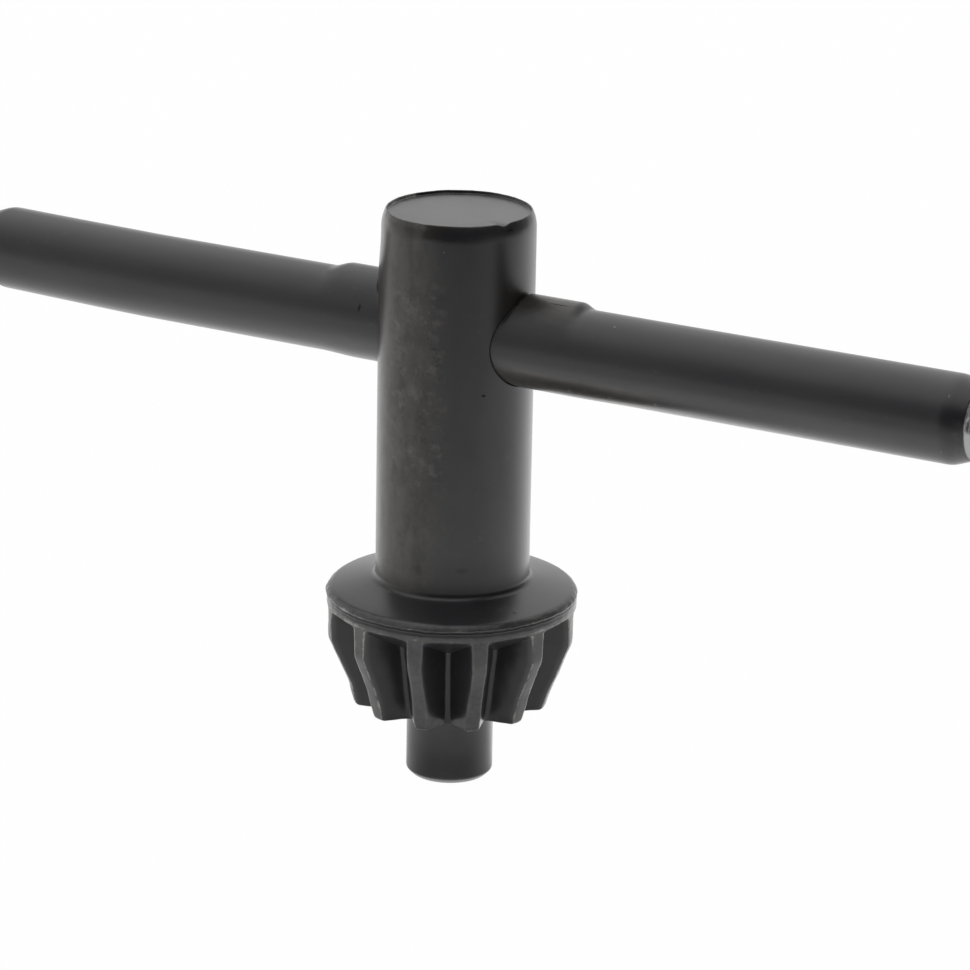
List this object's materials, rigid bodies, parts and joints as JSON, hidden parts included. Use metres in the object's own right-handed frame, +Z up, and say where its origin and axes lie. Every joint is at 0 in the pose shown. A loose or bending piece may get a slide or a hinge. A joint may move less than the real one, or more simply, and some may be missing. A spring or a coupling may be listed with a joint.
{
  "type": "drill chuck key",
  "caption": "Geared key for a drill chuck: a black steel barrel with bevel teeth, a centring pilot and a staked cross bar as its handle.",
  "frame": {"origin": "centre of the flat end of the pilot, on the body's axis", "axes": "+Z up the body's axis towards its head, X along the cross bar"},
  "size_m": [0.0768, 0.0174, 0.0404],
  "materials": {
    "body_steel": "blackened forged and machined steel, satin",
    "bar_steel": "blackened drawn rod, satin"
  },
  "bodies": {
    "root": {"key_body": "body_steel", "cross_bar": "bar_steel"}
  },
  "joints": []
}
